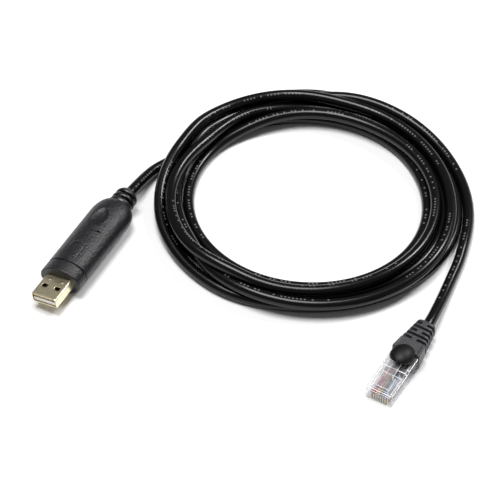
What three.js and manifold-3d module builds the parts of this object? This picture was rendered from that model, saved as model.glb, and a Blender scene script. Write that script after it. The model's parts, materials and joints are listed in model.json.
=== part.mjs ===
// A serial console lead: a USB-A plug in a long rounded overmould and a clear
// eight-way modular plug in a ribbed boot, joined by a round jacketed cable
// that lies in a loose flat coil. Millimetres, +Z up, standing on z = 0.
import * as THREE from 'three';
import * as BufferGeometryUtils from 'three/addons/utils/BufferGeometryUtils.js';
import Module from 'manifold-3d';

const wasm = await Module();
wasm.setup();

const DEG = Math.PI / 180;

// Clearances.
const FIT = 0.3;
const SMALL_FIT = 0.2;

// USB-A plug: a folded sheet shell round an insulating tongue.
const SHELL_WIDTH = 12;
const SHELL_HEIGHT = 4.5;
const SHELL_WALL = 0.3;
const SHELL_REACH = 12;
const SHELL_ROOT = 6;
const WINDOW_LENGTH = 2;
const WINDOW_WIDTH = 2.4;
const WINDOW_SPACING = 5.9;
const WINDOW_SETBACK = 6;
const TONGUE_THICKNESS = 1.75;
const TONGUE_SETBACK = 0.6;
const TONGUE_BLOCK = 2;
const PAD_WIDTH = 1;
const PAD_THICKNESS = 0.3;
const PAD_INNER_OFFSET = 1;
const PAD_OUTER_OFFSET = 3.5;
const PAD_SETBACK = 1.4;
const PAD_PROUD = 0.05;

// Overmould of the USB plug: an ellipse in section with rounded shoulders.
const BODY_WIDTH = 18.8;
const BODY_HEIGHT = 13.4;
const BODY_LENGTH = 47;
const BODY_EDGE = 0.6;
const SHOULDER_LENGTH = 8.5;
const NECK_WIDTH = 11.3;
const NECK_HEIGHT = 9.6;
const RING_SETBACK = 6;
const RING_WIDTH = 0.6;
const RING_DEPTH = 0.35;
const DISH_SETBACK = 33.6;
const DISH_LENGTH = 11;
const DISH_WIDTH = 6.5;
const DISH_DEPTH = 0.9;
const PIP_SETBACK = 26;
const PIP_OFFSET = 4;
const PIP_DIAMETER = 1.2;
const PIP_DEPTH = 1;

// Ribbed strain relief behind the overmould.
const RELIEF_LENGTH = 8.7;
const RELIEF_END_WIDTH = 9.5;
const RELIEF_NOSE = 1.4;
const RELIEF_SLOT = 1.1;
const RELIEF_SLOT_DEPTH = 1.3;
const RELIEF_PITCH = 2.7;
const RELIEF_BRIDGE = 2;

// Cable jacket.
const CABLE_DIAMETER = 4.8;
const CABLE_SIDES = 10;
const CABLE_STEP = 7;

// Outline of the coil that the cable lies in.
const COIL_RADIUS_X = 67.7;
const COIL_RADIUS_Y = 63.9;
const COIL_BUNDLE = 18.8;
const COIL_HEIGHT = 12.4;
const COIL_CORNER = 3.2;

// Modular plug: clear housing, eight contacts, eight wires.
const PLUG_WIDTH = 11.68;
const PLUG_LENGTH = 21.46;
const PLUG_HEIGHT = 6.6;
const PLUG_REAR_HEIGHT = 7.6;
const PLUG_STEP_SETBACK = 12.7;
const PLUG_STEP_RUN = 1.6;
const PLUG_WALL = 0.8;
const RAIL_WIDTH = 1.04;
const BAY_SETBACK = 1.2;
const BAY_FLOOR = 4.6;
const BAY_REAR_FLOOR = 6.8;
const WIRE_COUNT = 8;
const WIRE_PITCH = 1.02;
const WIRE_DIAMETER = 0.8;
const WIRE_SIDES = 8;
const WIRE_LEVEL = 3.4;
const WIRE_SETBACK = 1;
const WIRE_FAN_END = 9.5;
const WIRE_BUNCH_PITCH = 1.06;
const JACKET_SETBACK = 14.5;
const CONTACT_THICKNESS = 0.32;
const CONTACT_SIDE_FIT = 0.15;
const CONTACT_FRONT = 0.55;
const CONTACT_LENGTH = 3.6;
const CONTACT_BASE = 0.5;
const LATCH_WIDTH = 6.2;
const LATCH_LENGTH = 7;
const LATCH_THICKNESS = 0.95;
const LATCH_ROOT_LEVEL = 6.2;
const LEVER_WIDTH = 3.3;
const LEVER_END = 19.6;
const LEVER_SLOPE = 10;

// Boot over the back of the modular plug.
const BOOT_FRONT_WIDTH = 12.4;
const BOOT_MID_WIDTH = 11.2;
const BOOT_REAR_WIDTH = 8.2;
const BOOT_FRONT_BASE = 0.5;
const BOOT_FRONT_TOP = 9.6;
const BOOT_MID_BASE = 1.3;
const BOOT_MID_TOP = 9.4;
const BOOT_REAR_BASE = 1.9;
const BOOT_REAR_TOP = 9.1;
const BOOT_BLOCK = 5.8;
const BOOT_LENGTH = 18.4;
const BOOT_NOSE = 0.8;
const BOOT_ROUNDING = 0.45;
const BOOT_SLOT = 1.1;
const BOOT_SLOT_PITCH = 2.25;
const BOOT_SLOT_COUNT = 5;
const BOOT_SLOT_START = 6.95;
const BOOT_BRIDGE = 2.6;
const HOOD_WALL = 0.9;
const HOOD_RISE = 3.7;
const HOOD_SPRING = 8.4;
const HOOD_FRONT = 16.9;
const HOOD_STRAIGHT = 3.5;
const HOOD_DOME = 4.6;
const HOOD_VISOR = 3.6;
const HOOD_VISOR_LEVEL = 9.1;

// Places and headings of the pieces as they lie.
const USB_PLACE = [-77.6, -23.4];
const USB_HEADING = 61.9;
const USB_ROLL = -7.5;
const PLUG_PLACE = [50.2, -80.85];
const PLUG_HEADING = 58.7;
const COIL_PLACE = [26.5, 28];

// The cable's centre line from the USB relief to the coil, and from the coil
// to the jacket's end in the modular plug.
const USB_LEAD_POINTS = [
  [-51.06, 26.3, 6.75],
  [-50.0, 28.3, 6.5],
  [-48.3, 31.6, 5.8],
  [-46.6, 35.0, 5.0],
  [-44.8, 38.5, 4.1],
  [-42.5, 42.2, 3.3],
  [-39.9, 45.7, 2.6],
  [-36.6, 49.5, 2.41],
];
const PLUG_LEAD_POINTS = [
  [89.3, 2.9, 2.8],
  [88.2, -3.2, 2.45],
  [86.4, -9.0, 2.41],
  [84.0, -15.1, 2.41],
  [81.5, -21.5, 2.5],
  [78.9, -28.2, 2.9],
  [76.2, -35.0, 3.8],
  [73.7, -41.3, 4.9],
  [71.95, -45.1, 5.4],
  [69.94, -48.38, 5.5],
  [66.82, -53.51, 5.1],
  [63.71, -58.63, 4.3],
  [60.59, -63.76, 3.62],
  [57.73, -68.46, 3.5],
];

// Colours and finishes.
const OVERMOULD = { color: 0x1d1d1f, roughness: 0.72, metalness: 0 };
const RELIEF_FINISH = { color: 0x141615, roughness: 0.4, metalness: 0 };
const JACKET = { color: 0x0b0b0c, roughness: 0.3, metalness: 0 };
const GOLD = { color: 0xd9bf7c, roughness: 0.28, metalness: 1 };
const INSULATOR = { color: 0xe8dcd6, roughness: 0.5, metalness: 0 };
const CLEAR = { color: 0xeef0f2, roughness: 0.08, metalness: 0 };
const BLADE = { color: 0xb58a3c, roughness: 0.3, metalness: 1 };
const WIRE_COLOURS = [
  0xf0f0f2, 0xdcdcea, 0xa9bfd9, 0x1c3f86,
  0xe0c21e, 0xe7a25a, 0xc0344a, 0xe59a9c,
];

/** A closed solid made from a three.js geometry. */
function solidOf(geometry) {
  const bare = geometry.clone();
  bare.deleteAttribute('normal');
  bare.deleteAttribute('uv');
  const merged = BufferGeometryUtils.mergeVertices(bare, 1e-5);
  return new wasm.Manifold(new wasm.Mesh({
    numProp: 3,
    vertProperties: new Float32Array(merged.attributes.position.array),
    triVerts: new Uint32Array(merged.index.array),
  }));
}

/** The geometry of a solid that was joined or cut. */
function geometryOf(solid) {
  const mesh = solid.getMesh();
  const geometry = new THREE.BufferGeometry();
  geometry.setAttribute('position', new THREE.BufferAttribute(mesh.vertProperties, 3));
  geometry.setIndex(new THREE.BufferAttribute(mesh.triVerts, 1));
  geometry.computeVertexNormals();
  return geometry;
}

/** A named mesh with a finish of its own. */
function piece(name, geometry, finish) {
  const mesh = new THREE.Mesh(geometry, new THREE.MeshStandardMaterial(finish));
  mesh.name = name;
  return mesh;
}

/** A box between two corners. */
function box(x0, x1, y0, y1, z0, z1) {
  const geometry = new THREE.BoxGeometry(x1 - x0, y1 - y0, z1 - z0);
  return geometry.translate((x0 + x1) / 2, (y0 + y1) / 2, (z0 + z1) / 2);
}

/** A profile in x and z, extruded across y about the middle plane. */
function prism(points, width) {
  const shape = new THREE.Shape(points.map(([x, z]) => new THREE.Vector2(x, z)));
  const geometry = new THREE.ExtrudeGeometry(shape, { depth: width, bevelEnabled: false });
  return geometry.rotateX(Math.PI / 2).translate(0, width / 2, 0);
}

/** A turned solid along x from a list of [x, radius]. */
function turned(profile, segments) {
  const points = profile.map(([x, radius]) => new THREE.Vector2(radius, x));
  return new THREE.LatheGeometry(points, segments).rotateZ(-Math.PI / 2);
}

/** Scales the height of a solid along x by a factor that varies with x. */
function flattened(geometry, factorAt) {
  const position = geometry.attributes.position;
  for (let i = 0; i < position.count; i += 1) {
    position.setZ(i, position.getZ(i) * factorAt(position.getX(i)));
  }
  return geometry;
}

/** A rounded-square section of half size 1. */
function roundedSquare(rounding) {
  const shape = new THREE.Shape();
  const flat = 1 - rounding;
  shape.moveTo(flat, -1);
  shape.absarc(flat, -flat, rounding, -Math.PI / 2, 0, false);
  shape.absarc(flat, flat, rounding, 0, Math.PI / 2, false);
  shape.absarc(-flat, flat, rounding, Math.PI / 2, Math.PI, false);
  shape.absarc(-flat, -flat, rounding, Math.PI, Math.PI * 1.5, false);
  shape.closePath();
  return shape;
}

/** A tapered sleeve along x through stations of [x, half width, base, top]. */
function sleeve(stations, rounding) {
  const depth = stations.length - 1;
  const geometry = new THREE.ExtrudeGeometry(roundedSquare(rounding), {
    depth,
    steps: depth,
    curveSegments: 4,
    bevelEnabled: false,
  });
  const position = geometry.attributes.position;
  for (let i = 0; i < position.count; i += 1) {
    const [x, half, base, top] = stations[Math.round(position.getZ(i))];
    const across = position.getX(i);
    const up = position.getY(i);
    position.setXYZ(i, x, across * half, (base + top) / 2 + up * (top - base) / 2);
  }
  return geometry;
}

/** A round tube of a given radius along a list of points. */
function tube(points, radius, sides, step) {
  const curve = new THREE.CatmullRomCurve3(points.map((p) => new THREE.Vector3(...p)));
  const section = new THREE.Shape(Array.from({ length: sides }, (_, i) => {
    const angle = (i / sides) * 2 * Math.PI;
    return new THREE.Vector2(radius * Math.cos(angle), radius * Math.sin(angle));
  }));
  return new THREE.ExtrudeGeometry(section, {
    steps: Math.max(2, Math.round(curve.getLength() / step)),
    extrudePath: curve,
    bevelEnabled: false,
  });
}

/** The USB shell: an open rectangular tube with two windows above and below. */
function usbShell() {
  const half = SHELL_WIDTH / 2;
  const tall = SHELL_HEIGHT / 2;
  const inner = half - SHELL_WALL;
  const low = tall - SHELL_WALL;
  let solid = solidOf(box(-SHELL_REACH, SHELL_ROOT, -half, half, -tall, tall));
  solid = solid.subtract(solidOf(
    box(-SHELL_REACH - 1, SHELL_ROOT + 1, -inner, inner, -low, low),
  ));
  const from = -SHELL_REACH + WINDOW_SETBACK - WINDOW_LENGTH / 2;
  for (const side of [-1, 1]) {
    const middle = side * WINDOW_SPACING / 2;
    solid = solid.subtract(solidOf(box(
      from, from + WINDOW_LENGTH,
      middle - WINDOW_WIDTH / 2, middle + WINDOW_WIDTH / 2,
      -tall - 1, tall + 1,
    )));
  }
  return geometryOf(solid);
}

const PAD_OFFSETS = [-PAD_OUTER_OFFSET, -PAD_INNER_OFFSET, PAD_INNER_OFFSET, PAD_OUTER_OFFSET];
const TONGUE_BASE = -SHELL_HEIGHT / 2 + SHELL_WALL + SMALL_FIT;
const TONGUE_TOP = TONGUE_BASE + TONGUE_THICKNESS;
const PAD_START = -SHELL_REACH + PAD_SETBACK;
const PAD_END = -TONGUE_BLOCK - SMALL_FIT;

/** The insulator: a block that fills the shell's back and a grooved tongue. */
function usbTongue() {
  const half = SHELL_WIDTH / 2 - SHELL_WALL - SMALL_FIT;
  const roof = SHELL_HEIGHT / 2 - SHELL_WALL - SMALL_FIT;
  let solid = solidOf(prism([
    [-SHELL_REACH + TONGUE_SETBACK, TONGUE_BASE],
    [SHELL_ROOT, TONGUE_BASE],
    [SHELL_ROOT, roof],
    [-TONGUE_BLOCK, roof],
    [-TONGUE_BLOCK, TONGUE_TOP],
    [-SHELL_REACH + TONGUE_SETBACK, TONGUE_TOP],
  ], 2 * half));
  const reach = PAD_WIDTH / 2 + SMALL_FIT;
  for (const offset of PAD_OFFSETS) {
    solid = solid.subtract(solidOf(box(
      PAD_START - SMALL_FIT, -TONGUE_BLOCK + 0.01,
      offset - reach, offset + reach,
      TONGUE_TOP + PAD_PROUD - PAD_THICKNESS - SMALL_FIT, TONGUE_TOP + 1,
    )));
  }
  return geometryOf(solid);
}

/** One contact pad on the tongue. */
function usbPad(offset) {
  const top = TONGUE_TOP + PAD_PROUD;
  return box(
    PAD_START, PAD_END,
    offset - PAD_WIDTH / 2, offset + PAD_WIDTH / 2,
    top - PAD_THICKNESS, top,
  );
}

/** The overmould with its seam ring, thumb dish, pip and shell pocket. */
function usbBody() {
  const half = BODY_WIDTH / 2;
  const neck = NECK_WIDTH / 2;
  const straightEnd = BODY_LENGTH - SHOULDER_LENGTH;
  const profile = [[0, 0], [0, half - BODY_EDGE], [BODY_EDGE * 0.3, half - BODY_EDGE * 0.3]];
  profile.push([BODY_EDGE, half]);
  profile.push([RING_SETBACK - RING_WIDTH / 2, half]);
  profile.push([RING_SETBACK - RING_WIDTH / 2, half - RING_DEPTH]);
  profile.push([RING_SETBACK + RING_WIDTH / 2, half - RING_DEPTH]);
  profile.push([RING_SETBACK + RING_WIDTH / 2, half]);
  const arcSteps = 7;
  for (let i = 0; i <= arcSteps; i += 1) {
    const turn = (i / arcSteps) * Math.PI / 2;
    profile.push([
      straightEnd + SHOULDER_LENGTH * Math.sin(turn),
      neck + (half - neck) * Math.cos(turn),
    ]);
  }
  profile.push([BODY_LENGTH, 0]);
  const flatness = BODY_HEIGHT / BODY_WIDTH;
  const neckFlatness = NECK_HEIGHT / NECK_WIDTH;
  const body = flattened(turned(profile, 56), (x) => {
    const share = Math.max(0, (x - straightEnd) / SHOULDER_LENGTH);
    return flatness + (neckFlatness - flatness) * share * share;
  });
  let solid = solidOf(body);
  const pocketHalf = SHELL_WIDTH / 2 + FIT;
  const pocketTall = SHELL_HEIGHT / 2 + FIT;
  solid = solid.subtract(solidOf(
    box(-1, SHELL_ROOT + FIT, -pocketHalf, pocketHalf, -pocketTall, pocketTall),
  ));
  const dish = new THREE.SphereGeometry(1, 28, 14);
  dish.scale(DISH_LENGTH / 2, DISH_WIDTH / 2, DISH_DEPTH);
  solid = solid.subtract(solidOf(dish.translate(DISH_SETBACK, 0, BODY_HEIGHT / 2)));
  const share = PIP_OFFSET / half;
  const surface = (BODY_HEIGHT / 2) * Math.sqrt(1 - share * share);
  const pip = new THREE.CylinderGeometry(PIP_DIAMETER / 2, PIP_DIAMETER / 2, 2 * PIP_DEPTH, 12);
  pip.rotateX(Math.PI / 2).translate(PIP_SETBACK, -PIP_OFFSET, surface);
  return geometryOf(solid.subtract(solidOf(pip)));
}

/** The strain relief: three rings parted by two slots, each with two bridges. */
function usbRelief() {
  const start = BODY_LENGTH + FIT;
  const end = start + RELIEF_LENGTH;
  const neck = NECK_WIDTH / 2;
  const tail = RELIEF_END_WIDTH / 2;
  const profile = [[start, 0], [start, neck], [end - RELIEF_NOSE, tail]];
  profile.push([end - RELIEF_NOSE * 0.4, tail - RELIEF_NOSE * 0.3]);
  profile.push([end, tail - RELIEF_NOSE]);
  profile.push([end, 0]);
  const flatness = NECK_HEIGHT / NECK_WIDTH;
  const along = (x) => Math.min(1, (x - start) / RELIEF_LENGTH);
  const round = (x) => flatness + (1 - flatness) * along(x);
  let solid = solidOf(flattened(turned(profile, 40), round));
  const core = tail - RELIEF_SLOT_DEPTH;
  for (const [index, upright] of [[1, true], [2, false]]) {
    const middle = start + index * RELIEF_PITCH - RELIEF_SLOT / 2 + FIT;
    const from = middle - RELIEF_SLOT / 2;
    const to = middle + RELIEF_SLOT / 2;
    const disc = solidOf(turned([[from, 0], [from, neck + 1], [to, neck + 1], [to, 0]], 40));
    const hub = solidOf(turned([[from - 1, 0], [from - 1, core], [to + 1, core], [to + 1, 0]], 40));
    const ring = disc.subtract(hub);
    const half = RELIEF_BRIDGE / 2;
    const bridge = upright
      ? box(from - 1, to + 1, -half, half, -neck - 2, neck + 2)
      : box(from - 1, to + 1, -neck - 2, neck + 2, -half, half);
    solid = solid.subtract(ring.subtract(solidOf(bridge)));
  }
  return geometryOf(solid);
}

const CABLE_RADIUS = CABLE_DIAMETER / 2;
const CHANNEL_BASE = WIRE_LEVEL - WIRE_DIAMETER / 2 - SMALL_FIT;
const CHANNEL_TOP = WIRE_LEVEL + WIRE_DIAMETER / 2 + SMALL_FIT;
const CONTACT_TOP = WIRE_LEVEL - WIRE_DIAMETER / 2 - SMALL_FIT;
const JACKET_LEVEL = PLUG_LEAD_POINTS.at(-1)[2];
const wireOffset = (index) => (index - (WIRE_COUNT - 1) / 2) * WIRE_PITCH;

/** The clear housing with its latch, contact slots, channel and jacket room. */
function plugHousing() {
  let solid = solidOf(prism([
    [0, 0],
    [PLUG_LENGTH, 0],
    [PLUG_LENGTH, PLUG_REAR_HEIGHT],
    [PLUG_STEP_SETBACK + PLUG_STEP_RUN, PLUG_REAR_HEIGHT],
    [PLUG_STEP_SETBACK, PLUG_HEIGHT],
    [0, PLUG_HEIGHT],
  ], PLUG_WIDTH));
  const bayHalf = PLUG_WIDTH / 2 - RAIL_WIDTH;
  const past = PLUG_LENGTH + 2;
  const rampEnd = PLUG_STEP_SETBACK + 0.3;
  const rampStart = rampEnd - 1.5;
  solid = solid.subtract(solidOf(prism([
    [BAY_SETBACK, BAY_FLOOR],
    [rampStart, BAY_FLOOR],
    [rampEnd, BAY_REAR_FLOOR],
    [past, BAY_REAR_FLOOR],
    [past, PLUG_REAR_HEIGHT + 5],
    [BAY_SETBACK, PLUG_REAR_HEIGHT + 5],
  ], 2 * bayHalf)));
  const roomTop = JACKET_LEVEL + CABLE_RADIUS + FIT;
  const roomHalf = (WIRE_COUNT * WIRE_PITCH) / 2 + SMALL_FIT;
  const roomStart = rampEnd + 0.3;
  solid = solid.subtract(solidOf(prism([
    [WIRE_FAN_END, CHANNEL_BASE],
    [roomStart - 3, CHANNEL_BASE],
    [roomStart - 1, PLUG_WALL],
    [past, PLUG_WALL],
    [past, roomTop],
    [roomStart, roomTop],
    [roomStart - 1.8, CHANNEL_TOP],
    [WIRE_FAN_END, CHANNEL_TOP],
  ], 2 * roomHalf)));
  solid = solid.subtract(solidOf(box(
    WIRE_SETBACK - SMALL_FIT, WIRE_FAN_END + 0.01,
    -roomHalf, roomHalf,
    CHANNEL_BASE, CHANNEL_TOP,
  )));
  const reach = CONTACT_THICKNESS / 2 + CONTACT_SIDE_FIT;
  for (let i = 0; i < WIRE_COUNT; i += 1) {
    solid = solid.subtract(solidOf(box(
      -1, CONTACT_FRONT + CONTACT_LENGTH + SMALL_FIT,
      wireOffset(i) - reach, wireOffset(i) + reach,
      -1, CHANNEL_BASE + SMALL_FIT,
    )));
  }
  const rise = Math.tan(LEVER_SLOPE * DEG);
  const latchEnd = BAY_SETBACK + LATCH_LENGTH;
  const levelAt = (x) => LATCH_ROOT_LEVEL + (x - BAY_SETBACK) * rise;
  const rootEnd = BAY_SETBACK + 1.2;
  const latch = solidOf(prism([
    [BAY_SETBACK - 0.4, BAY_FLOOR - 0.3],
    [rootEnd, BAY_FLOOR - 0.3],
    [rootEnd + 0.8, levelAt(rootEnd + 0.8) - LATCH_THICKNESS],
    [latchEnd, levelAt(latchEnd) - LATCH_THICKNESS],
    [latchEnd, levelAt(latchEnd)],
    [BAY_SETBACK - 0.4, levelAt(BAY_SETBACK - 0.4)],
  ], LATCH_WIDTH));
  const lever = solidOf(prism([
    [latchEnd - 1, levelAt(latchEnd - 1) - LATCH_THICKNESS],
    [LEVER_END, levelAt(LEVER_END) - LATCH_THICKNESS],
    [LEVER_END, levelAt(LEVER_END)],
    [latchEnd - 1, levelAt(latchEnd - 1)],
  ], LEVER_WIDTH));
  return geometryOf(solid.add(latch).add(lever));
}

/** One contact blade of the modular plug. */
function plugContact(index) {
  const half = CONTACT_THICKNESS / 2;
  return box(
    CONTACT_FRONT, CONTACT_FRONT + CONTACT_LENGTH,
    wireOffset(index) - half, wireOffset(index) + half,
    CONTACT_BASE, CONTACT_TOP - SMALL_FIT,
  );
}

/** One wire, from its place in the bunch at the jacket's end to its contact. */
function plugWire(index) {
  const bunch = (Math.floor(index / 2) - 1.5) * WIRE_BUNCH_PITCH;
  const lift = (index % 2 === 0 ? -0.5 : 0.5) * WIRE_BUNCH_PITCH;
  const row = wireOffset(index);
  const start = JACKET_SETBACK - FIT;
  const run = start - WIRE_FAN_END;
  return tube([
    [start, bunch, JACKET_LEVEL + lift],
    [start - run * 0.35, bunch + (row - bunch) * 0.82, JACKET_LEVEL + lift * 0.7],
    [start - run * 0.62, row, WIRE_LEVEL],
    [WIRE_FAN_END, row, WIRE_LEVEL],
    [WIRE_FAN_END - 3, row, WIRE_LEVEL],
    [WIRE_SETBACK, row, WIRE_LEVEL],
  ], WIRE_DIAMETER / 2, WIRE_SIDES, 1.1);
}

/** The boot: a tapered block with slots, a hood over the latch and a bore. */
function plugBoot(bore) {
  const start = PLUG_LENGTH + FIT;
  const end = start + BOOT_LENGTH;
  const middle = start + BOOT_BLOCK;
  let solid = solidOf(sleeve([
    [start, BOOT_FRONT_WIDTH / 2, BOOT_FRONT_BASE, BOOT_FRONT_TOP],
    [middle, BOOT_MID_WIDTH / 2, BOOT_MID_BASE, BOOT_MID_TOP],
    [end - BOOT_NOSE, BOOT_REAR_WIDTH / 2, BOOT_REAR_BASE, BOOT_REAR_TOP],
    [end, BOOT_REAR_WIDTH / 2 - BOOT_NOSE / 2, BOOT_REAR_BASE + BOOT_NOSE / 2,
      BOOT_REAR_TOP - BOOT_NOSE / 2],
  ], BOOT_ROUNDING));
  const outerHalf = PLUG_WIDTH / 2 - RAIL_WIDTH - FIT;
  const base = BAY_REAR_FLOOR + FIT;
  const far = HOOD_SPRING + HOOD_RISE + 1;
  const arch = (half, rise, front, dome) => {
    const middleX = HOOD_FRONT + HOOD_STRAIGHT;
    const round = new THREE.CylinderGeometry(1, 1, middleX - front, 36);
    round.rotateZ(Math.PI / 2).scale(1, half, rise);
    round.translate((middleX + front) / 2, 0, HOOD_SPRING);
    const ball = new THREE.SphereGeometry(1, 36, 18);
    ball.rotateX(Math.PI / 2).scale(dome, half, rise).translate(middleX, 0, HOOD_SPRING);
    const wall = solidOf(box(front, middleX, -half, half, base, HOOD_SPRING));
    const joined = solidOf(round).add(solidOf(ball)).add(wall);
    const room = solidOf(box(front, middleX + dome + 1, -half - 1, half + 1, base, far));
    return joined.intersect(room);
  };
  const visor = (reach, half, rise, end) => {
    const ball = new THREE.SphereGeometry(1, 36, 18);
    ball.rotateX(Math.PI / 2).scale(reach, half, rise).translate(HOOD_FRONT, 0, HOOD_SPRING);
    const room = box(HOOD_FRONT - reach - 1, end, -half - 1, half + 1, HOOD_VISOR_LEVEL, far);
    return solidOf(ball).intersect(solidOf(room));
  };
  const innerHalf = outerHalf - HOOD_WALL;
  const innerRise = HOOD_RISE - HOOD_WALL;
  solid = solid.add(arch(outerHalf, HOOD_RISE, HOOD_FRONT, HOOD_DOME));
  solid = solid.add(visor(HOOD_VISOR, outerHalf, HOOD_RISE, HOOD_FRONT + 0.5));
  solid = solid.subtract(arch(innerHalf, innerRise, HOOD_FRONT - 0.3, HOOD_DOME - HOOD_WALL));
  solid = solid.subtract(visor(HOOD_VISOR - HOOD_WALL, innerHalf, innerRise, HOOD_FRONT + 0.5));
  const centre = (BOOT_REAR_BASE + BOOT_REAR_TOP) / 2;
  const half = BOOT_FRONT_WIDTH;
  for (let i = 0; i < BOOT_SLOT_COUNT; i += 1) {
    const from = start + BOOT_SLOT_START + i * BOOT_SLOT_PITCH - BOOT_SLOT / 2;
    const to = from + BOOT_SLOT;
    const slot = solidOf(box(from, to, -half, half, -1, far));
    const bridge = i % 2 === 0
      ? box(from - 1, to + 1, -BOOT_BRIDGE / 2, BOOT_BRIDGE / 2, -2, far + 1)
      : box(from - 1, to + 1, -half - 1, half + 1, -2, centre - BOOT_BRIDGE / 2);
    solid = solid.subtract(slot.subtract(solidOf(bridge)));
  }
  return geometryOf(solid.subtract(bore));
}

/** The ring that the coiled cable fills. */
function coilRing() {
  const outer = COIL_RADIUS_X;
  const inner = outer - COIL_BUNDLE;
  const corners = [
    [inner, 0, 180], [outer, 0, 270], [outer, COIL_HEIGHT, 0], [inner, COIL_HEIGHT, 90],
  ];
  const profile = [];
  for (const [radius, level, turn] of corners) {
    const toward = radius === inner ? 1 : -1;
    const up = level === 0 ? 1 : -1;
    for (let i = 0; i <= 3; i += 1) {
      const angle = (turn + i * 30) * DEG;
      profile.push(new THREE.Vector2(
        radius + toward * COIL_CORNER + COIL_CORNER * Math.cos(angle),
        level + up * COIL_CORNER + COIL_CORNER * Math.sin(angle),
      ));
    }
  }
  profile.push(profile[0].clone());
  const ring = new THREE.LatheGeometry(profile, 72).rotateX(Math.PI / 2);
  return ring.scale(1, COIL_RADIUS_Y / COIL_RADIUS_X, 1);
}

/** An upright slug as wide as the coil with a clearance all round. */
function coilCutter() {
  const slug = new THREE.CylinderGeometry(1, 1, 4 * COIL_HEIGHT, 144).rotateX(Math.PI / 2);
  slug.scale(COIL_RADIUS_X + FIT, COIL_RADIUS_Y + FIT, 1);
  return solidOf(slug.translate(COIL_PLACE[0], COIL_PLACE[1], 0));
}

/** A lead of the cable, ended against the coil. */
function lead(points) {
  const whole = solidOf(tube(points, CABLE_RADIUS, CABLE_SIDES, CABLE_STEP));
  return geometryOf(whole.subtract(coilCutter()));
}

const roll = USB_ROLL * DEG;
const restLevel = Math.hypot(
  (BODY_HEIGHT / 2) * Math.cos(roll),
  (BODY_WIDTH / 2) * Math.sin(roll),
);
const usbRolled = new THREE.Group();
usbRolled.rotation.x = roll;
usbRolled.add(piece('usb_shell', usbShell(), GOLD));
usbRolled.add(piece('usb_tongue', usbTongue(), INSULATOR));
PAD_OFFSETS.forEach((offset, i) => {
  usbRolled.add(piece(`usb_contact_${i + 1}`, usbPad(offset), GOLD));
});
usbRolled.add(piece('usb_body', usbBody(), OVERMOULD));
usbRolled.add(piece('usb_strain_relief', usbRelief(), RELIEF_FINISH));
const usb = new THREE.Group();
usb.position.set(USB_PLACE[0], USB_PLACE[1], restLevel);
usb.rotation.z = USB_HEADING * DEG;
usb.add(usbRolled);

const plug = new THREE.Group();
plug.position.set(PLUG_PLACE[0], PLUG_PLACE[1], 0);
plug.rotation.z = PLUG_HEADING * DEG;
plug.updateMatrix();
const boreTube = tube(PLUG_LEAD_POINTS, CABLE_RADIUS + FIT, CABLE_SIDES, CABLE_STEP);
const bore = solidOf(boreTube.applyMatrix4(plug.matrix.clone().invert()));
plug.add(piece('rj45_boot', plugBoot(bore), OVERMOULD));
plug.add(piece('rj45_housing', plugHousing(), {
  ...CLEAR,
  transparent: true,
  opacity: 0.35,
}));
for (let i = 0; i < WIRE_COUNT; i += 1) {
  plug.add(piece(`rj45_contact_${i + 1}`, plugContact(i), BLADE));
  plug.add(piece(`rj45_wire_${i + 1}`, plugWire(i), {
    color: WIRE_COLOURS[i],
    roughness: 0.45,
    metalness: 0,
  }));
}

const coil = piece('cable_coil', coilRing(), JACKET);
coil.position.set(COIL_PLACE[0], COIL_PLACE[1], 0);

const layout = new THREE.Group();
layout.add(usb, plug, coil);
layout.add(piece('cable_lead_usb', lead(USB_LEAD_POINTS), JACKET));
layout.add(piece('cable_lead_rj45', lead(PLUG_LEAD_POINTS), JACKET));

// The origin is on the floor under the middle of the two connectors.
layout.updateMatrixWorld(true);
const extent = new THREE.Box3().setFromObject(usb, true);
extent.union(new THREE.Box3().setFromObject(plug, true));
const middle = extent.getCenter(new THREE.Vector3());
layout.position.set(-middle.x, -middle.y, 0);

const consoleCable = new THREE.Group();
consoleCable.add(layout);
consoleCable.updateMatrixWorld(true);

export default consoleCable;
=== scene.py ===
import json
import logging
import math
from dataclasses import dataclass
from enum import Enum
from typing import Any, Sequence, Union

import bpy
import numpy as np
from mathutils import Euler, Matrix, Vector

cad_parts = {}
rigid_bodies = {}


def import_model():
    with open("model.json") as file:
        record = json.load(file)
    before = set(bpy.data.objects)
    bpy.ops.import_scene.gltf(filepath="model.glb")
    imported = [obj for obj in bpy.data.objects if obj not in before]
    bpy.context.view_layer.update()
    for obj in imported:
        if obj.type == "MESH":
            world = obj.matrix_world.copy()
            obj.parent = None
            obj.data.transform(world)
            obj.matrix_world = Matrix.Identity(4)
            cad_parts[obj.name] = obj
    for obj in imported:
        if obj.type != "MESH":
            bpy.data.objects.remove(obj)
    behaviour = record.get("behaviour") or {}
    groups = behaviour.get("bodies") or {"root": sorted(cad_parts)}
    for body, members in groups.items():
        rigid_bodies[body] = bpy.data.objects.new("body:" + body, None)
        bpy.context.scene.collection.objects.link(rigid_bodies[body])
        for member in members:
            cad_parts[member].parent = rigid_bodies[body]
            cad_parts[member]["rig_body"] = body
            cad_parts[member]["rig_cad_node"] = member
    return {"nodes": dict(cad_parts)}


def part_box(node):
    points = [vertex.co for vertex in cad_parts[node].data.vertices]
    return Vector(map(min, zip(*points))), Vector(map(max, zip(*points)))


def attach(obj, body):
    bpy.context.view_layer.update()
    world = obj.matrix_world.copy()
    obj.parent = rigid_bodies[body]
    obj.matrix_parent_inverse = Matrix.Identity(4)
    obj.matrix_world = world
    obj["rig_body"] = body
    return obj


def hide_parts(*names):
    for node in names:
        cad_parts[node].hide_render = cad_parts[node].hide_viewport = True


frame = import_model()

LOG = logging.getLogger("console_lead")
Array = np.ndarray
Number = Union[float, int]
MM = 0.001
ROOT = "root"

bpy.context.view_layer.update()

# The coil's middle as the part's source gives it, in millimetres, before the
# source moves everything so that the origin is under the two connectors.
COIL_PLACE = (26.5, 28.0)


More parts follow.
